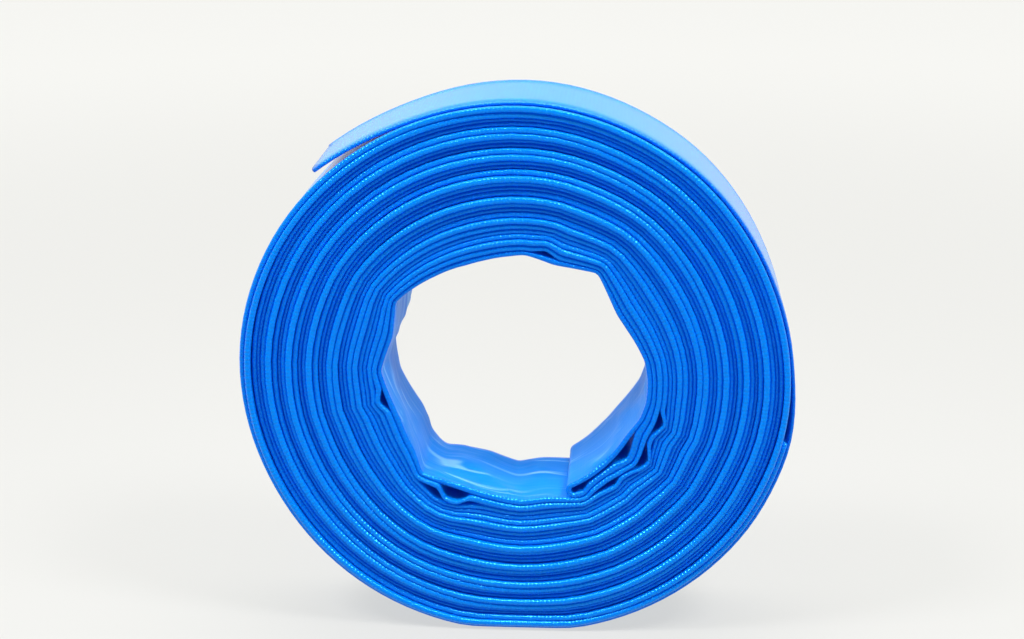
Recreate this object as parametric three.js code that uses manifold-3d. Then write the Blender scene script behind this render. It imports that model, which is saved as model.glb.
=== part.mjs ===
// Rolled PVC lay-flat hose, 38 mm bore size, standing on its rim.
// Millimetres, +Z up. The roll's axis lies along Y, and the origin is on the floor under its middle.
// The hose is doubled at its middle and wound from that fold, so two layers go out with every turn.

import * as THREE from 'three';
import { mergeVertices } from 'three/addons/utils/BufferGeometryUtils.js';
import Module from 'manifold-3d';

const wasm = await Module();
wasm.setup();

// Driving dimensions of the hose
const flatWidth = 64; // the hose pressed flat, from fold edge to fold edge
const wallThickness = 1.35; // coated wall, two of them in a layer
const windingSlack = 0.12; // air left between neighbouring layers
const layerCount = 28; // layers between the bore and the rim
const boreRadius = 71.3; // mean radius of the hole in the middle

// Driving dimensions of the rolled shape
const sag = 3; // how far the rim is pressed flat by the roll's own weight
const wobble = 0.8; // how far a layer stands proud of, or behind, the mean end face
const wobbleLayers = 4; // layers from one proud layer to the next
const edgeDepth = 1.1; // depth of the groove between two rounded edges
const creaseFade = 3; // how fast the creases of the bore die out towards the rim
const stepFade = 12; // how fast the step under the loose end dies out towards the bore

// Driving dimensions of the loose end
const tailRoot = 108.75; // degrees from +X towards +Z, where the outer layer leaves the roll
const tailTip = 133.5; // degrees, where it ends
const tailLift = 5; // rise of its tip over the layer's own place in the roll
const tailSteps = 4;

// Bulges of the rim: degrees from +X towards +Z, and millimetres out from the mean rim
const rimBulges = [[25, -2.7], [92, 1.2], [160, 0.6], [212, -0.9], [252, 0.4], [326, 2.6]];

// Creases of the bore: degrees, and millimetres out from the mean bore
const boreCreases = [
  [0, -0.9], [33, -6.6], [55, 1.9], [74, -4.1], [88, -2.3], [104, -3], [148, 5.5], [162, 0.1],
  [177, 3.2], [209, -2], [226, 6.4], [250, -3], [290, 4.2], [299, -2.6], [328, -4.8], [346, -0.6],
];

// Voids that the creases leave between the inner layers:
// degrees at the middle, degrees across, height over the mean bore at the middle, greatest height
const voids = [
  { at: 78, span: 9, over: 4.6, height: 2.4 },
  { at: 191.5, span: 8, over: 6.6, height: 3.6 },
  { at: 241, span: 15, over: 6.6, height: 6.4 },
  { at: 301, span: 8, over: 2, height: 2.8 },
  { at: 326, span: 16, over: 1.8, height: 4 },
];
const voidPoints = 8;

const turnSteps = 48; // facets round the roll

const layerThickness = 2 * wallThickness;
const layerPitch = layerThickness + windingSlack;
const rimRadius = boreRadius + layerCount * layerPitch;
const axisHeight = rimRadius - sag;
const shoulder = flatWidth / 2 - edgeDepth;

// Value of a closed list of [degrees, value] pairs, eased from each one to the next
function around(list, degrees) {
  const turn = 360;
  const next = list.findIndex(([at]) => at > degrees);
  const after = next < 0 ? 0 : next;
  const before = (after + list.length - 1) % list.length;
  const span = (list[after][0] - list[before][0] + turn) % turn;
  const gone = (degrees - list[before][0] + turn) % turn;
  const ease = THREE.MathUtils.smoothstep(gone / span, 0, 1);
  return THREE.MathUtils.lerp(list[before][1], list[after][1], ease);
}

// Radius of the outer layer, pressed flat where it meets the floor
function rimAt(degrees) {
  const down = -Math.sin(THREE.MathUtils.degToRad(degrees));
  const free = rimRadius + around(rimBulges, degrees);
  return down > 0 ? Math.min(free, axisHeight / down) : free;
}

// Drop of one layer beyond the place where the loose end has left the roll
function stepAt(degrees) {
  const reach = tailTip + 6 - tailRoot;
  const gone = (degrees - tailRoot) / reach;
  return gone > 0 && gone < 1 ? layerPitch * (1 - gone) : 0;
}

// A turned radius moved to its place in the soft roll
function settle(turnedRadius, degrees) {
  const share = (turnedRadius - boreRadius) / (rimRadius - boreRadius);
  const crease = around(boreCreases, degrees) * (1 - share) ** creaseFade;
  const bulge = (rimAt(degrees) - rimRadius) * share;
  const step = stepAt(degrees) * share ** stepFade;
  return turnedRadius + crease + bulge - step;
}

// Closed section of the wound layers: every layer has its rounded edge on both end faces
function rollSection() {
  const front = [new THREE.Vector2(boreRadius, -shoulder)];
  const back = [new THREE.Vector2(boreRadius, shoulder)];
  for (let layer = 0; layer < layerCount; layer += 1) {
    const shift = wobble * Math.cos((2 * Math.PI * layer) / wobbleLayers);
    const crest = boreRadius + (layer + 0.5) * layerPitch;
    const groove = boreRadius + (layer + 1) * layerPitch;
    front.push(new THREE.Vector2(crest, shift - flatWidth / 2));
    front.push(new THREE.Vector2(groove, -shoulder));
    back.push(new THREE.Vector2(crest, shift + flatWidth / 2));
    back.push(new THREE.Vector2(groove, shoulder));
  }
  return [...front, ...back.reverse(), front[0].clone()];
}

function solidFrom(geometry) {
  geometry.deleteAttribute('normal');
  geometry.deleteAttribute('uv');
  const merged = mergeVertices(geometry, 1e-3);
  const mesh = new wasm.Mesh({
    numProp: 3,
    vertProperties: new Float32Array(merged.attributes.position.array),
    triVerts: new Uint32Array(merged.index.array),
  });
  return new wasm.Manifold(mesh);
}

function geometryFrom(solid) {
  const mesh = solid.getMesh();
  const geometry = new THREE.BufferGeometry();
  geometry.setAttribute('position', new THREE.BufferAttribute(mesh.vertProperties, 3));
  geometry.setIndex(new THREE.BufferAttribute(mesh.triVerts, 1));
  geometry.computeVertexNormals();
  return geometry;
}

function placeAt(degrees, radius) {
  const angle = THREE.MathUtils.degToRad(degrees);
  return new THREE.Vector2(radius * Math.cos(angle), radius * Math.sin(angle));
}

// The wound layers as one ring, turned about Y and then settled into the soft shape
function woundLayers() {
  const ring = new THREE.LatheGeometry(rollSection(), turnSteps, Math.PI / turnSteps);
  const position = ring.attributes.position;
  for (let index = 0; index < position.count; index += 1) {
    const x = position.getX(index);
    const z = position.getZ(index);
    const degrees = (THREE.MathUtils.radToDeg(Math.atan2(z, x)) + 360) % 360;
    const placed = placeAt(degrees, settle(Math.hypot(x, z), degrees));
    position.setX(index, placed.x);
    position.setZ(index, placed.y);
  }
  return solidFrom(ring);
}

// An outline in the plane of the roll, drawn out along the roll's axis about its middle
function drawnOut(outline, depth, bevel) {
  const geometry = new THREE.ExtrudeGeometry(new THREE.Shape(outline), {
    depth,
    steps: 1,
    bevelEnabled: bevel > 0,
    bevelThickness: bevel,
    bevelSize: bevel,
    bevelSegments: 1,
  });
  geometry.translate(0, 0, -depth / 2);
  geometry.rotateX(Math.PI / 2);
  return solidFrom(geometry);
}

// The loose end: the outer layer, let into the ring at its root and lifting towards its tip
function looseEnd() {
  const facet = 360 / turnSteps;
  const halfCore = layerThickness / 2 - edgeDepth;
  const outer = [];
  const inner = [];
  for (let step = -1; step <= tailSteps; step += 1) {
    const share = Math.max(step, 0) / tailSteps;
    const degrees = step < 0 ? tailRoot - facet : THREE.MathUtils.lerp(tailRoot, tailTip, share);
    const lift = step < 0 ? -layerThickness / 4 : tailLift * (1 - Math.cos((share * Math.PI) / 2));
    const middle = rimAt(degrees) - layerThickness / 2 + lift;
    outer.push(placeAt(degrees, middle + halfCore));
    inner.push(placeAt(degrees, middle - halfCore));
  }
  return drawnOut([...outer, ...inner.reverse()], 2 * shoulder, edgeDepth);
}

// A void between two layers, open at both end faces
function voidBetween({ at, span, over, height }) {
  const outline = [];
  for (let point = 0; point < voidPoints; point += 1) {
    const turn = (point * 2 * Math.PI) / voidPoints;
    const degrees = at + (span / 2) * Math.cos(turn);
    const radius = boreRadius + over + (height / 2) * Math.sin(turn);
    outline.push(placeAt(degrees, radius));
  }
  return drawnOut(outline, 2 * flatWidth, 0);
}

let hose = woundLayers().add(looseEnd());
for (const gap of voids) {
  hose = hose.subtract(voidBetween(gap));
}

const pvc = new THREE.MeshStandardMaterial({ color: 0x0f7ff0, roughness: 0.32, metalness: 0 });
const layflatHose = new THREE.Mesh(geometryFrom(hose), pvc);
layflatHose.name = 'layflat_hose';
layflatHose.position.z = axisHeight;

const group = new THREE.Group();
group.add(layflatHose);

export default group;
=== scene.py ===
import math

import bpy
import numpy as np
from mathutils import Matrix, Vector


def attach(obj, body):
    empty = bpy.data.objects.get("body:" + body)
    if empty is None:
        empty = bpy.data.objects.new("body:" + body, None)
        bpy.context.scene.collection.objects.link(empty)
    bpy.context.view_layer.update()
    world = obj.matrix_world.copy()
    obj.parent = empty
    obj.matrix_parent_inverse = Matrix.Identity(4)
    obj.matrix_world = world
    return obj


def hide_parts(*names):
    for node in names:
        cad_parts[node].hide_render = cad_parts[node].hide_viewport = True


# Rolled PVC lay-flat hose standing on its rim. Metres, +Z up, the roll's axis along Y.
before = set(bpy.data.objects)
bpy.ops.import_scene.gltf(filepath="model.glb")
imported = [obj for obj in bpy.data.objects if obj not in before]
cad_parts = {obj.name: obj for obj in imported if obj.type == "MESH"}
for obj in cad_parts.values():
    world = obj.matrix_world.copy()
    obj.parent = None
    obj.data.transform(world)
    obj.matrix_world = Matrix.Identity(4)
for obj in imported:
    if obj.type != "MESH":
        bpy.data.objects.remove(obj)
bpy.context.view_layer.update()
print("frame loaded")

mm = 0.001

# One hose: a flat tube, doubled at its middle and wound from that fold
hose = {
    "flatWidth": 64 * mm,
    "layerThickness": 2.7 * mm,
    "layerPitch": 2.763 * mm,
    "axisHeight": 147.3 * mm,
    "foldRadius": 68.5 * mm,       # inner face of the first layer, right at the fold, without its bends
    "foldAngle": 296.5,            # degrees from +X towards +Z, seen from the front
    "fullTurns": 14,
    "tailSweep": 197.0,            # what the outer strand runs on past those turns, to its loose end
    "hiddenSweep": 50.5,           # what the inner strand runs on, to the end that stays covered
    "edgeDepth": 1.3 * mm,         # how far the folded edge rounds off
    "bodyRows": [0.72, 0.48, 0.24],    # rows of points across a face, as shares of half the width
    "shoulder": 3 * mm,            # the row before the folded edge
    "edgeTurns": [60, 30, 0, -30, -60],    # degrees of the points round a folded edge
    "boreStep": 1.25,              # degrees from station to station: by the bore, in the middle, at the rim
    "middleStep": 5.0,
    "rimStep": 3.0,
    "boreSweep": 540,              # degrees wound with the step of the bore, and with that of the rim
    "rimSweep": 560,
    "foldSteps": 14,
}

# How the folded edges stand proud of each other on the two end faces
edges = {
    "sway": 1.9 * mm,              # sideways wander of a layer
    "swayLayers": 4.15,            # layers from one proud layer to the next
    "swayPeak": 19.7,              # count of a layer that stands fully proud
    "secondWave": 0.3,             # smaller wander at twice the pace, as a share
    "slowWave": 0.25,              # slow drift, as a share, with its pace and its offset between the strands
    "slowPace": 0.83,
    "slowOffset": 50,
    "spread": 0.27,                # a proud edge is this much fatter, a recessed one thinner
    "reach": 5 * mm,               # how far in from the edge that goes
    "faceTo": 0.92,                # share of half the width where a face gives way to the folded edge
    "foldFrom": 0.985,
    "calmFrom": 2.0,               # layers near the bore wander less
    "calmTo": 14.0,
    "calmest": 0.35,
}

# The whole roll: pressed flat on the floor, and a little out of round
roll = {
    # degrees from +X towards +Z, and millimetres out at the rim
    "bulges": [(24, -2.4), (55, -1.1), (90, 0.5), (165, 1.2), (212, -0.9), (270, -0.8), (321, 0.8),
               (345, 0.2)],
    "bulgePower": 1.5,             # how fast a bulge dies out towards the bore
    "flatFrom": 0.8,               # share of straight down from which a layer can lie flat
    "flatPower": 4,                # how fast the flat dies out towards the bore
    "contactEase": 0.6 * mm,       # how softly a layer bends into the part that lies flat
    "endLead": 4.0,                # degrees before the covered end where the outer layer starts to come down
    "endDrop": 18.0,               # degrees in which the outer layer comes down past the covered end
    "tailRoot": 25.0,              # degrees before its end where the outer layer leaves the roll
    "tailLift": 4.6 * mm,
}

# The bends of the bore, at the front and the back edge: degrees past the fold, and millimetres that its
# face lies outside an even spiral
boreFront = [
    (0, -2.3), (34, -2.6), (46, 0.5), (54, 1.4), (64, 0.9), (72, 0), (97, -5.4), (118, 2.9), (137, -3.6),
    (150, -1.7), (168, -3.1), (211, 5.6), (226, -1.2), (241, 1.5), (264, -4.5), (278, -2.8), (290, 3.0),
    (311, -4.8), (321, -5.1), (335, -3.6), (345, -4.2), (360, 1.9),
]
boreBack = [
    (0, -1.5), (28, -4.1), (48, 0.3), (56, 1.4), (66, 0.5), (99, -5.2), (120, 2.4), (139, -3.6), (152, -1.8),
    (170, -3.2), (209, 4.4), (223, -2.3), (239, 0.9), (255, -0.5), (275, -4.1), (288, 0.9), (294, 2.1),
    (298, 2.0), (307, -3.7), (317, -6.1), (332, -2.9), (342, -5.1), (360, 1.6),
]

# Air under the second, third and fourth layer out: degrees past the fold, and millimetres
voids = {
    1: [(0, 3.1), (3, 4.0), (7, 1.5), (12, 0.9), (17, 1.2), (21, 1.6), (27, 5.0), (30.5, 4.0), (35, 2.0),
        (39.5, 0), (135, 0), (141.5, 2.7), (148, 0), (249, 0), (254.5, 3.6), (259.5, 0), (299, 0),
        (301, 2.6), (304, 6.3), (308.5, 6.6), (310.7, 3.9), (312.6, 0.4), (316, 0)],
    2: [(291, 0), (297.5, 3.6), (300, 4.3), (303.6, 0.8), (308, 0), (310, 0.6), (312.5, 2.1), (316, 1.3),
        (320, 0)],
    3: [(4, 0), (8, 1.2), (15.3, 3.3), (19.2, 0.4), (24, 0.6), (31, 4.6), (37.2, 0.4), (41, 0.8),
        (46.6, 4.3), (51.6, 0)],
}

# How the layers settle over the bends of the bore
stack = {
    "bow": 1.6,                    # how much a layer bows between two bends
    "borePasses": 2,               # rounds of smoothing, for the bore's own face and for each layer after it
    "layerPasses": 1,
    "keep": 0.88,                  # share of a bend that the next layer out keeps
    "thinnest": 1.5,               # millimetres a layer is pressed to over a void
    "slack": 0.06,                 # millimetres of air between two layers
    # the second layer, held open: degrees past the fold, and millimetres
    "puffed": [(0, 0.9), (15, 0.6), (20, 1.8), (40, 1.6), (50, 0.6), (60, 0)],
    "join": 24,                    # degrees in which a turn settles onto the one before
    "backVoids": 0.7,              # height of a void at the back edge against the front one
    "backShift": 1.5,              # degrees that it lies further on
}

# Folds of the loose film across the bore's face: their height, and how two sets of ridges run
folds = {
    "height": 1.5 * mm,
    "pace": 3.6,                   # ridges come this much faster than the winding turns
    "slant": 95,                   # degrees of their wave from the middle of the hose to an edge
    "wander": 42,
    "crossPace": 5.3,
    "crossSlant": -70,
    "crossShare": 0.5,             # height of the second set against the first
    "from": (0, 14),               # degrees past the fold in which they rise, and in which they die out
    "to": (330, 358),
    "edgePower": 6,                # how late they die out towards the folded edges
    "filmEnds": (0.47, 0.53),      # metres of hose past the fold in which the film of the bore ends
}

turnDegrees = np.arange(0, 361.0)


def eased(low, high, x):
    s = np.clip((x - low) / (high - low), 0, 1)
    return s * s * (3 - 2 * s)


def roundTurn(pairs, shift=0.0):
    at, value = zip(*pairs)
    return np.interp(turnDegrees - shift, at, value)


def bowed(pairs):
    # level where a stretch lies furthest in, and a sharp bend where it stands furthest out
    at, value = np.array(pairs, float).T
    i = np.clip(np.searchsorted(at, turnDegrees, side="right") - 1, 0, len(at) - 2)
    s = (turnDegrees - at[i]) / (at[i + 1] - at[i])
    rising = value[i + 1] > value[i]
    low = np.where(rising, value[i], value[i + 1])
    return low + np.abs(value[i + 1] - value[i]) * np.where(rising, s, 1 - s) ** stack["bow"]


def softened(row, passes):
    for step in range(passes):
        before = np.concatenate([[2 * row[0] - row[1]], row[:-1]])
        after = np.concatenate([row[1:], [2 * row[-1] - row[-2]]])
        row = (before + 2 * row + after) / 4
    return row


def stackLayers(bore, voidShare, voidShift):
    # inner and outer face of every layer at every degree, each layer laid on the one inside it
    pitch = hose["layerPitch"] / mm
    spiral = hose["foldRadius"] / mm + pitch * 2 * turnDegrees / 360
    offsets = [softened(bowed(bore), stack["borePasses"])]
    inner, outer = [], []
    for layer in range(2 * hose["fullTurns"] + 2):
        lifted = offsets[layer]
        if layer in voids:
            lifted = lifted + voidShare * roundTurn(voids[layer], voidShift)
        settled = np.maximum(lifted * stack["keep"], lifted - pitch + stack["thinnest"])
        if layer == 1:
            settled = settled + roundTurn(stack["puffed"])
        if layer > 0:
            wanted = offsets[layer - 1][-1]
            settled = settled + (wanted - settled[0]) * (1 - eased(0, stack["join"], turnDegrees))
        offsets.append(softened(settled, stack["layerPasses"]))
        inner.append(spiral + pitch * layer + lifted)
        outer.append(spiral + pitch * (layer + 1) + offsets[-1] - stack["slack"])
    return np.array(inner) * mm, np.array(outer) * mm


layersFront = stackLayers(boreFront, 1.0, 0.0)
layersBack = stackLayers(boreBack, stack["backVoids"], stack["backShift"])


def bulgeAt(degrees):
    at, out = np.array(roll["bulges"], float).T
    at = np.concatenate([[at[-1] - 360], at, [at[0] + 360]])
    out = np.concatenate([[out[-1]], out, [out[0]]])
    turned = degrees % 360
    i = np.clip(np.searchsorted(at, turned, side="right") - 1, 0, len(at) - 2)
    return out[i] + eased(0, 1, (turned - at[i]) / (at[i + 1] - at[i])) * (out[i + 1] - out[i])


def readLayer(rows, layer, past):
    low = np.floor(past).astype(int)
    share = past - low
    high = np.minimum(low + 1, 360)
    return rows[layer, low] * (1 - share) + rows[layer, high] * share


def blend(front, back, share):
    return front * (1 - share) + back * share


def layerFaces(sweep, strand, across):
    # middle of a layer from the roll's axis, and half its thickness
    # across is -1 at the front edge and 1 at the back one, and the bends run over from one to the other
    pitch = hose["layerPitch"]
    past = sweep % 360
    layer = (2 * (sweep // 360) + strand).astype(int)
    toBack = (eased(-1, 1, across) + (across + 1) / 2) / 2
    inner = blend(readLayer(layersFront[0], layer, past), readLayer(layersBack[0], layer, past), toBack)
    outer = blend(readLayer(layersFront[1], layer, past), readLayer(layersBack[1], layer, past), toBack)
    radius = (inner + outer) / 2
    count = 2 * sweep / 360 + strand

    full = 360 * hose["fullTurns"]
    degrees = hose["foldAngle"] + sweep
    share = np.clip(count / (2 * hose["fullTurns"]), 0, 1)
    radius = radius + bulgeAt(degrees) * share ** roll["bulgePower"] * mm
    covered = full + hose["hiddenSweep"]
    fallen = eased(covered - roll["endLead"], covered + roll["endDrop"], sweep) * strand
    radius = radius - pitch * fallen

    down = -np.sin(np.radians(degrees))
    lastLayer = np.where(past > 180, 2 * hose["fullTurns"] - 1, 2 * hose["fullTurns"] + 1)
    outermost = lastLayer + 2 * past / 360
    deep = hose["axisHeight"] - hose["layerThickness"] / 2 - pitch * (outermost - count)
    flat = np.where(down > roll["flatFrom"], deep / np.maximum(down, roll["flatFrom"]), 1)
    over = np.clip((radius - flat) / roll["contactEase"], -30, 30)   # so that exp stays in range
    pressed = flat - roll["contactEase"] * np.log1p(np.exp(-over))
    radius = radius + (np.minimum(pressed, radius) - radius) * share ** roll["flatPower"]

    tailEnd = full + hose["tailSweep"]
    free = np.clip((sweep - tailEnd + roll["tailRoot"]) / roll["tailRoot"], 0, 1) * strand
    return radius + roll["tailLift"] * (1 - np.cos(free * math.pi / 2)), (outer - inner) / 2


def filmFold(sweep, strand, across):
    # the first turn's face stands into the bore in slanting ridges that die out at the folded edges
    first = (sweep < 360) & (strand < 0.5)
    run = np.radians(sweep * folds["pace"] + across * folds["slant"]
                     + folds["wander"] * np.sin(np.radians(sweep * 2)))
    cross = np.radians(sweep * folds["crossPace"] + across * folds["crossSlant"])
    ridge = (1 - np.abs(np.sin(run))) ** 2 + folds["crossShare"] * (1 - np.abs(np.sin(cross))) ** 2
    ends = eased(*folds["from"], sweep) * (1 - eased(*folds["to"], sweep))
    return folds["height"] * ridge * first * ends * (1 - abs(across) ** folds["edgePower"])


def sweepsOf(last):
    bore = np.arange(0, hose["boreSweep"], hose["boreStep"])
    middle = np.arange(hose["boreSweep"], last - hose["rimSweep"], hose["middleStep"])
    rim = np.arange(last - hose["rimSweep"], last, hose["rimStep"])
    return np.concatenate([bore, middle, rim, [last]])


def sectionPoints():
    # once round the flat tube: how far across, and how far from its middle, -1 to 1
    half = hose["flatWidth"] / 2
    depth = hose["edgeDepth"]
    flank = half - depth
    body = [flank, flank - hose["shoulder"]] + [half * share for share in hose["bodyRows"]]
    rowsOver = body + [0.0] + [-v for v in reversed(body)]
    points = [(y, 1.0) for y in rowsOver]
    for turn in hose["edgeTurns"]:
        points.append((-flank - depth * math.cos(math.radians(turn)), math.sin(math.radians(turn))))
    points += [(-y, -1.0) for y in rowsOver]
    for turn in reversed(hose["edgeTurns"]):
        points.append((flank + depth * math.cos(math.radians(turn)), math.sin(math.radians(turn))))
    return np.array(points)


def windHose():
    section = sectionPoints()
    half = hose["flatWidth"] / 2
    full = 360 * hose["fullTurns"]
    inner = sweepsOf(full + hose["hiddenSweep"])[::-1]
    outer = sweepsOf(full + hose["tailSweep"])
    foldTurns = np.linspace(0, 180, hose["foldSteps"] + 1)[1:-1]

    # every station: winding sweep, strand, and the turn round the fold (0 inner strand, 180 outer strand)
    sweep = np.concatenate([inner, np.zeros(len(foldTurns)), outer])
    strand = np.concatenate([np.zeros(len(inner)), foldTurns / 180, np.ones(len(outer))])
    turn = np.concatenate([np.zeros(len(inner)), foldTurns, np.full(len(outer), 180.0)])
    degrees = np.radians(hose["foldAngle"] + sweep)
    radial = np.stack([np.cos(degrees), np.zeros_like(degrees), np.sin(degrees)], 1)
    back = np.stack([np.sin(degrees), np.zeros_like(degrees), -np.cos(degrees)], 1)
    bend = np.radians(turn)[:, None]
    face = -np.cos(bend) * radial + np.sin(bend) * back

    count = 2 * sweep / 360 + strand
    calm = edges["calmest"] + (1 - edges["calmest"]) * eased(edges["calmFrom"], edges["calmTo"], count)
    wave = 2 * math.pi * (count + 0.5 - edges["swayPeak"]) / edges["swayLayers"]
    slow = edges["slowWave"] * np.sin(np.radians(sweep * edges["slowPace"] + edges["slowOffset"] * strand))
    shift = -edges["sway"] * calm * (np.cos(wave) + edges["secondWave"] * np.cos(2 * wave) + slow)
    atFold = (turn > 0) & (turn < 180)
    halfStep = math.pi / edges["swayLayers"]
    leaning = edges["spread"] * hose["layerPitch"] / 2 / math.tan(halfStep) * calm * np.sin(wave)

    rows = []
    for y, side in section:
        across = y / half
        edge = eased(half - edges["reach"], half - hose["edgeDepth"], abs(y))
        toFront = -math.copysign(1, y)
        fat = 1 + toFront * edges["spread"] * calm * np.cos(wave) * edge
        low, lowHalf = layerFaces(sweep, np.zeros_like(sweep), across)
        high, highHalf = layerFaces(sweep, np.ones_like(sweep), across)
        own = np.where(strand > 0.5, high, low) + toFront * leaning * edge
        thick = blend(lowHalf, highHalf, strand)
        middle = np.where(atFold, (low + high) / 2, own)
        loop = np.where(atFold, (high - low) / 2, 0)
        swell = filmFold(sweep, strand, across) if side == 1 else 0
        place = radial * middle[:, None] + face * (loop + side * thick * fat + swell)[:, None]
        place[:, 1] = y + shift
        place[:, 2] += hose["axisHeight"]
        rows.append(place)
    wound = np.stack(rows, 1)
    wound[:, :, 2] -= wound[:, :, 2].min()
    stationOfFold = len(inner) + len(foldTurns) // 2
    # share that an edge stands proud, later used to paint it lit, or in painted shade where it lies back
    proudLit = 0.5 + 0.5 * calm * np.cos(wave)
    return wound, section, stationOfFold, proudLit


def srgb(code):
    parts = [int(code[i:i + 2], 16) / 255 for i in (1, 3, 5)]
    return [v / 12.92 if v <= 0.04045 else ((v + 0.055) / 1.055) ** 2.4 for v in parts] + [1.0]


def addNode(tree, kind, settings=None, links=None):
    node = tree.nodes.new(kind)
    for name, value in (settings or {}).items():
        if isinstance(name, int) or name in node.inputs:
            node.inputs[name].default_value = value
        else:
            setattr(node, name, value)
    for name, source in (links or {}).items():
        tree.links.new(source, node.inputs[name])
    return node


def calenderedPvc():
    # soft PVC pressed smooth over polyester yarn, which gives it a wet-looking gloss
    # the flat faces are paler than the folded edges, whose recessed layers carry painted shade
    look = {
        "edgeLitBlue": "#0081E6",         # lit colour of edges that stand proud, and painted shade of edges that lie back between them
        "edgeShadedBlue": "#005ED0",
        "patchScale": 14.0,            # uneven tone of the edges: patches to a metre, and their share
        "patchShare": 0.25,
        "faceBlue": "#0082DA",
        "paintedSheen": "#86C4EC",        # painted sheen on the ridges of the creased film: a pale colour that stands in for the light they reflect
        "weftPitch": 2.2 * mm,         # yarn wound round the hose, drawn coarser than it is so that it shows
        "warpPitch": 1.25 * mm,        # yarn along the hose, and its height against the other
        "warpShare": 0.35,
        "ribHeight": 0.085 * mm,
        "faceRibs": 0.1,               # the flat faces hardly show the yarn
        "streakAlong": 15.0,           # creases of the film to a metre of hose, and to a metre across it
        "streakAcross": 85.0,
        "streakDrift": 0.022,          # metres the creases wander off the hose's own direction
        "driftScale": 17.0,            # how often to a metre they do so
        "streakTwist": 0.9,
        "streakHeight": 0.6 * mm,
        "sheenFrom": 0.55,              # height of a crease, 0 to 1, where its painted sheen starts, and where it is strongest
        "sheenTo": 0.72,
        "sheenMost": 0.75,
        "faceShine": 0.5,              # the tight folds are glossier than the flat faces
        "edgeShine": 1.0,
        "filmShine": 0.1,              # the film in the bore is drier than the rest
        "roughness": 0.21,
        "filmRoughness": 0.42,
        "ior": 1.53,
        "bleed": 0.2,                  # soft PVC lets a little light through; with the painted glow below, its grooves stay blue, not black
        "bleedReach": 2.5 * mm,
        "bleedColours": (0.2, 0.6, 1.0),
        # painted light: the surface glows blue by itself, more on the folded edges than on the flat faces
        "glowColour": "#0046E0",
        "edgeGlow": 0.17,
        "faceGlow": 0.04,
        "glint": "#4AD2FF",            # what the film sends straight back; it stays white at grazing angles
    }
    material = bpy.data.materials.new("calenderedPvc")
    material.use_nodes = True
    tree = material.node_tree
    tree.nodes.clear()
    uv = addNode(tree, "ShaderNodeUVMap", {"uv_map": "hoseRun"})
    split = addNode(tree, "ShaderNodeSeparateXYZ", links={"Vector": uv.outputs["UV"]})
    edge = addNode(tree, "ShaderNodeAttribute", {"attribute_name": "foldedEdge"})
    bore = addNode(tree, "ShaderNodeAttribute", {"attribute_name": "boreFilm"})

    weft = addNode(tree, "ShaderNodeMath", {"operation": "MULTIPLY", 1: 2 * math.pi / look["weftPitch"]},
                   {0: split.outputs["X"]})
    weftWave = addNode(tree, "ShaderNodeMath", {"operation": "SINE"}, {0: weft.outputs[0]})
    warp = addNode(tree, "ShaderNodeMath", {"operation": "MULTIPLY", 1: 2 * math.pi / look["warpPitch"]},
                   {0: split.outputs["Y"]})
    warpWave = addNode(tree, "ShaderNodeMath", {"operation": "SINE"}, {0: warp.outputs[0]})
    faint = addNode(tree, "ShaderNodeMath", {"operation": "MULTIPLY", 1: look["warpShare"]},
                    {0: warpWave.outputs[0]})
    yarn = addNode(tree, "ShaderNodeMath", {"operation": "ADD"},
                   {0: weftWave.outputs[0], 1: faint.outputs[0]})
    ribShare = addNode(tree, "ShaderNodeMapRange", {"To Min": look["faceRibs"], "To Max": 1.0},
                       {"Value": edge.outputs["Fac"]})
    ribs = addNode(tree, "ShaderNodeBump", {"Distance": look["ribHeight"]},
                   {"Height": yarn.outputs[0], "Strength": ribShare.outputs["Result"]})

    wander = addNode(tree, "ShaderNodeTexNoise", {"Scale": look["driftScale"], "Detail": 1.0},
                     {"Vector": uv.outputs["UV"]})
    reach = (look["streakDrift"],) * 3
    drift = addNode(tree, "ShaderNodeVectorMath", {"operation": "MULTIPLY_ADD", 1: reach},
                    {0: wander.outputs["Color"], 2: uv.outputs["UV"]})
    density = (look["streakAlong"], look["streakAcross"], 1.0)
    stretch = addNode(tree, "ShaderNodeVectorMath", {"operation": "MULTIPLY", 1: density},
                      {0: drift.outputs[0]})
    streaks = addNode(tree, "ShaderNodeTexNoise",
                      {"Scale": 1.0, "Detail": 2.5, "Distortion": look["streakTwist"]},
                      {"Vector": stretch.outputs[0]})
    film = addNode(tree, "ShaderNodeBump", {"Distance": look["streakHeight"]},
                   {"Height": streaks.outputs["Fac"], "Strength": bore.outputs["Fac"],
                    "Normal": ribs.outputs["Normal"]})
    # painted sheen: the tallest ridges of the film's creases are mixed towards a pale colour
    ridge = addNode(tree, "ShaderNodeMapRange",
                    {"interpolation_type": "SMOOTHSTEP", "From Min": look["sheenFrom"],
                     "From Max": look["sheenTo"], "To Max": look["sheenMost"]},
                    {"Value": streaks.outputs["Fac"]})
    sheenMask = addNode(tree, "ShaderNodeMath", {"operation": "MULTIPLY"},
                   {0: ridge.outputs["Result"], 1: bore.outputs["Fac"]})

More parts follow.
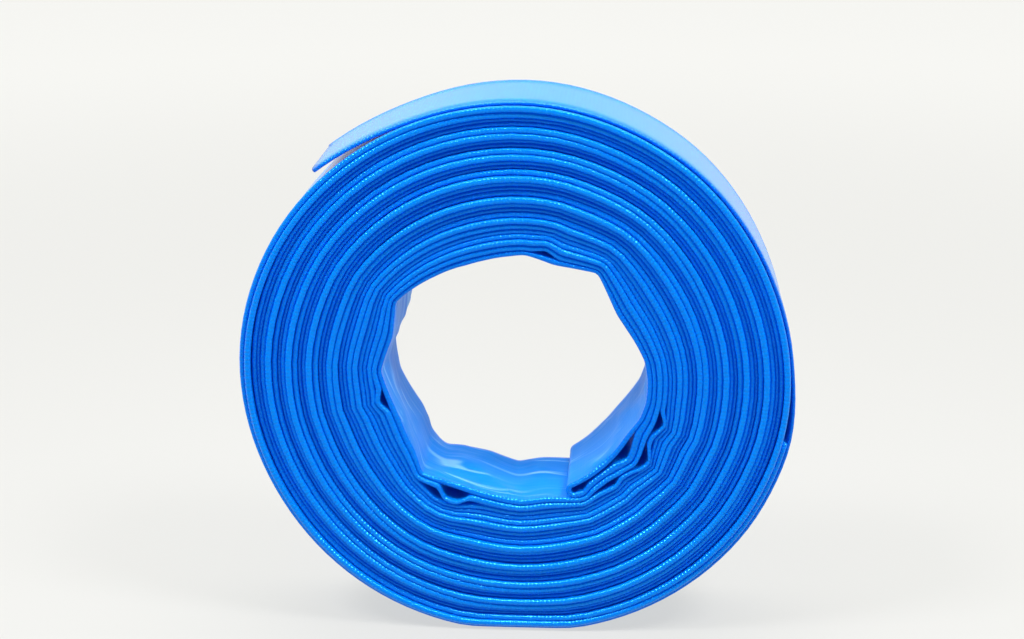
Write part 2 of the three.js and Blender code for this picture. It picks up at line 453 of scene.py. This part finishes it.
    place = addNode(tree, "ShaderNodeTexCoord")
    patches = addNode(tree, "ShaderNodeTexNoise", {"Scale": look["patchScale"], "Detail": 3.0},
                      {"Vector": place.outputs["Object"]})
    # painted shade: recessed edges get the darker blue and proud ones the lit blue, mixed with random patches
    # of tone
    proudLit = addNode(tree, "ShaderNodeAttribute", {"attribute_name": "proudEdgeLit"})
    shadeAndPatches = addNode(tree, "ShaderNodeMix", {"Factor": look["patchShare"]},
                     {"A": proudLit.outputs["Fac"], "B": patches.outputs["Fac"]})
    edgeShading = addNode(tree, "ShaderNodeMix", {"data_type": "RGBA"}, {"Factor": shadeAndPatches.outputs["Result"]})
    edgeShading.inputs["A"].default_value = srgb(look["edgeShadedBlue"])
    edgeShading.inputs["B"].default_value = srgb(look["edgeLitBlue"])
    tint = addNode(tree, "ShaderNodeMix", {"data_type": "RGBA"},
                   {"Factor": edge.outputs["Fac"], "B": edgeShading.outputs["Result"]})
    tint.inputs["A"].default_value = srgb(look["faceBlue"])
    sheenTinted = addNode(tree, "ShaderNodeMix", {"data_type": "RGBA"},
                    {"Factor": sheenMask.outputs[0], "A": tint.outputs["Result"]})
    sheenTinted.inputs["B"].default_value = srgb(look["paintedSheen"])
    tight = addNode(tree, "ShaderNodeMapRange", {"To Min": look["faceShine"], "To Max": look["edgeShine"]},
                    {"Value": edge.outputs["Fac"]})
    sheen = addNode(tree, "ShaderNodeMapRange", {"To Max": look["filmShine"]},
                    {"Value": bore.outputs["Fac"], "To Min": tight.outputs["Result"]})
    # painted glow, stronger on the folded edges than on the flat faces
    paintedGlow = addNode(tree, "ShaderNodeMapRange", {"To Min": look["faceGlow"], "To Max": look["edgeGlow"]},
                  {"Value": edge.outputs["Fac"]})
    dull = addNode(tree, "ShaderNodeMapRange", {"To Min": look["roughness"], "To Max": look["filmRoughness"]},
                   {"Value": bore.outputs["Fac"]})
    shader = addNode(tree, "ShaderNodeBsdfPrincipled",
                     {"IOR": look["ior"], "Specular Tint": srgb(look["glint"]),
                      "Emission Color": srgb(look["glowColour"]), "Subsurface Weight": look["bleed"],
                      "Subsurface Radius": look["bleedColours"], "Subsurface Scale": look["bleedReach"]},
                     {"Base Color": sheenTinted.outputs["Result"], "Normal": film.outputs["Normal"],
                      "Specular IOR Level": sheen.outputs["Result"], "Roughness": dull.outputs["Result"],
                      "Emission Strength": paintedGlow.outputs["Result"]})
    addNode(tree, "ShaderNodeOutputMaterial", links={"Surface": shader.outputs[0]})
    return material


def buildHose():
    grid, section, stationOfFold, proudLit = windHose()
    stations, around = grid.shape[:2]
    verts = grid.reshape(-1, 3)
    first = np.arange(stations - 1)[:, None] * around
    here = np.arange(around)[None, :]
    after = (here + 1) % around
    quads = np.stack([first + here, first + after, first + around + after, first + around + here], -1)
    faces = quads.reshape(-1, 4).tolist()
    faces.append(list(range(around))[::-1])
    faces.append([(stations - 1) * around + k for k in range(around)])
    mesh = bpy.data.meshes.new("layflat_hose_wound")
    mesh.from_pydata(verts.tolist(), [], faces)
    piece = bpy.data.objects.new("layflat_hose_wound", mesh)
    bpy.context.collection.objects.link(piece)

    # UV in metres: X along the hose, Y round it
    middle = grid.mean(axis=1)
    along = np.concatenate([[0], np.cumsum(np.linalg.norm(np.diff(middle, axis=0), axis=1))])
    outline = section * [1, hose["layerThickness"] / 2]
    sideLengths = np.linalg.norm(np.roll(outline, -1, axis=0) - outline, axis=1)
    roundUp = np.concatenate([[0], np.cumsum(sideLengths)])
    uv = mesh.uv_layers.new(name="hoseRun")
    s, a = np.meshgrid(np.arange(stations - 1), np.arange(around), indexing="ij")
    corners = np.stack([
        np.stack([along[s], roundUp[a]], -1), np.stack([along[s], roundUp[a + 1]], -1),
        np.stack([along[s + 1], roundUp[a + 1]], -1), np.stack([along[s + 1], roundUp[a]], -1)], 2)
    ends = np.zeros((2 * around, 2))
    uv.data.foreach_set("uv", np.concatenate([corners.reshape(-1, 2), ends]).astype(np.float32).ravel())

    # 1 on the folded edges and 0 on the flat faces
    onEdge = eased(edges["faceTo"], edges["foldFrom"], np.abs(section[:, 0]) / (hose["flatWidth"] / 2))
    mesh.attributes.new("foldedEdge", "FLOAT", "POINT").data.foreach_set("value", np.tile(onEdge, stations))
    # how far each layer's front edge stands out, which paints proud edges lit and recessed ones in painted
    # shade; the back edge is the other way round
    toFront = (section[:, 0] < 0).astype(float)
    proudEdgeLit = proudLit[:, None] * toFront[None, :] + (1 - proudLit[:, None]) * (1 - toFront)[None, :]
    mesh.attributes.new("proudEdgeLit", "FLOAT", "POINT").data.foreach_set("value", proudEdgeLit.ravel())
    # 1 on the film of the bore: the face that the inner strand's first turn has towards it, to just past
    # the middle of the fold
    fromFold = np.abs(along - along[stationOfFold])
    alongFilm = (1 - eased(*folds["filmEnds"], fromFold)) * (np.arange(stations) <= stationOfFold + 1)
    acrossFilm = (section[:, 1] == 1) * (1 - onEdge)
    boreFilm = alongFilm[:, None] * acrossFilm[None, :]
    mesh.attributes.new("boreFilm", "FLOAT", "POINT").data.foreach_set("value", boreFilm.ravel())

    bpy.ops.object.select_all(action="DESELECT")
    piece.select_set(True)
    bpy.context.view_layer.objects.active = piece
    bpy.ops.object.mode_set(mode="EDIT")
    bpy.ops.mesh.select_all(action="SELECT")
    bpy.ops.mesh.normals_make_consistent(inside=False)
    bpy.ops.object.mode_set(mode="OBJECT")
    bpy.ops.object.shade_smooth()
    piece.data.materials.append(calenderedPvc())
    print("hose wound:", round(along[-1], 2), "m,", stations, "stations,", 2 * stations * around, "triangles")
    return piece


def softbox(name, at, towards, width, height, glow):
    bpy.ops.object.light_add(type="AREA", location=at)
    box = bpy.context.object
    box.name = name
    box.data.shape = "RECTANGLE"
    box.data.size = width
    box.data.size_y = height
    box.data.energy = math.pi * width * height * glow
    box.rotation_euler = (Vector(towards) - Vector(at)).to_track_quat("-Z", "Y").to_euler()


def studio():
    room = {
        "floor": "#5E5E5D",
        "floorSize": 24,
        "floorRoughness": 0.8,
        "floorGlow": "#E8E8E4",        # evens out the floor; its strength near the roll and far off
        "glow": 0.76,
        "farGlow": 0.95,
        "near": 0.5,
        "far": 2.2,
        "sky": "#FFFFFF",
        "unlit": 0.03,                 # the camera's side, and where it passes into the lit one
        "darkTo": -0.85,
        "litFrom": -0.2,
        "wall": 0.95,                  # low down, and dim above that, with the heights where it changes
        "dim": 0.35,
        "wallTop": 0.2,
        "dimFrom": 0.32,
        "overhead": 1.1,               # bright again, and where that starts and is full
        "overheadFrom": 0.5,
        "overheadFull": 0.85,
        "key": 40,
        "keySize": 0.36,
        "keyAside": 0.72,              # metres to the left and to the right
        "keyForward": -0.45,
        "keyHeight": 1.35,
        "keyAim": (0, 0, 0.15),
        "top": 2.4,
        "topAt": (0, 0.45, 1.3),
        "topAim": (0, 0.2, 0),
        "topWidth": 1.4,
        "topDepth": 0.8,
    }
    bpy.ops.object.select_all(action="DESELECT")
    bpy.ops.mesh.primitive_plane_add(size=room["floorSize"], location=(0, 0, 0))
    floor = bpy.context.object
    floor.name = "pale_floor"
    # uncoated paper hung as a sweep: even and dull
    paper = bpy.data.materials.new("matPaperSweep")
    paper.use_nodes = True
    tree = paper.node_tree
    surface = tree.nodes["Principled BSDF"]
    surface.inputs["Base Color"].default_value = srgb(room["floor"])
    surface.inputs["Roughness"].default_value = room["floorRoughness"]
    surface.inputs["Emission Color"].default_value = srgb(room["floorGlow"])
    ground = addNode(tree, "ShaderNodeTexCoord")
    away = addNode(tree, "ShaderNodeVectorMath", {"operation": "LENGTH"}, {0: ground.outputs["Object"]})
    lift = addNode(tree, "ShaderNodeMapRange",
                   {"interpolation_type": "SMOOTHSTEP", "From Min": room["near"], "From Max": room["far"],
                    "To Min": room["glow"], "To Max": room["farGlow"]},
                   {"Value": away.outputs["Value"]})
    tree.links.new(lift.outputs["Result"], surface.inputs["Emission Strength"])
    floor.data.materials.append(paper)

    # a white room: bright low down behind and beside, dim above that, bright again overhead,
    # and unlit on the camera's side
    world = bpy.data.worlds.new("softRoom")
    world.use_nodes = True
    tree = world.node_tree
    direction = addNode(tree, "ShaderNodeTexCoord")
    split = addNode(tree, "ShaderNodeSeparateXYZ", links={"Vector": direction.outputs["Generated"]})
    side = addNode(tree, "ShaderNodeMapRange",
                   {"interpolation_type": "SMOOTHSTEP", "From Min": room["darkTo"],
                    "From Max": room["litFrom"], "To Min": room["unlit"], "To Max": 1.0},
                   {"Value": split.outputs["Y"]})
    low = addNode(tree, "ShaderNodeMapRange",
                  {"interpolation_type": "SMOOTHSTEP", "From Min": room["wallTop"],
                   "From Max": room["dimFrom"], "To Min": room["wall"], "To Max": room["dim"]},
                  {"Value": split.outputs["Z"]})
    high = addNode(tree, "ShaderNodeMapRange",
                   {"interpolation_type": "SMOOTHSTEP", "From Min": room["overheadFrom"],
                    "From Max": room["overheadFull"], "To Min": 0.0, "To Max": room["overhead"]},
                   {"Value": split.outputs["Z"]})
    both = addNode(tree, "ShaderNodeMath", {"operation": "ADD"},
                   {0: low.outputs["Result"], 1: high.outputs["Result"]})
    glow = addNode(tree, "ShaderNodeMath", {"operation": "MULTIPLY"},
                   {0: both.outputs[0], 1: side.outputs["Result"]})
    backdrop = tree.nodes["Background"]
    backdrop.inputs["Color"].default_value = srgb(room["sky"])
    tree.links.new(glow.outputs[0], backdrop.inputs["Strength"])
    bpy.context.scene.world = world

    for name, aside in (("leftKey", -room["keyAside"]), ("rightKey", room["keyAside"])):
        at = (aside, room["keyForward"], room["keyHeight"])
        softbox(name, at, room["keyAim"], room["keySize"], room["keySize"], room["key"])
    softbox("topBox", room["topAt"], room["topAim"], room["topWidth"], room["topDepth"], room["top"])
    bpy.context.scene.view_settings.view_transform = "Standard"


def photoCamera():
    view = {
        "azimuth": 3.475,              # degrees round to the right, and above level
        "elevation": 16.75,
        "distance": 1.0238,
        "aim": (-0.0045, 0, 0.1718),
        "lens": 65.36,
    }
    az, el = math.radians(view["azimuth"]), math.radians(view["elevation"])
    aim = Vector(view["aim"])
    back = Vector((math.sin(az) * math.cos(el), -math.cos(az) * math.cos(el), math.sin(el)))
    data = bpy.data.cameras.new("photoCamera")
    data.lens = view["lens"]
    camera = bpy.data.objects.new("photoCamera", data)
    bpy.context.collection.objects.link(camera)
    camera.location = aim + back * view["distance"]
    camera.rotation_euler = (-back).to_track_quat("-Z", "Y").to_euler()
    bpy.context.scene.camera = camera


photoCamera()
studio()
print("camera and light set")

woundHose = buildHose()
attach(woundHose, "root")
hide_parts("layflat_hose")
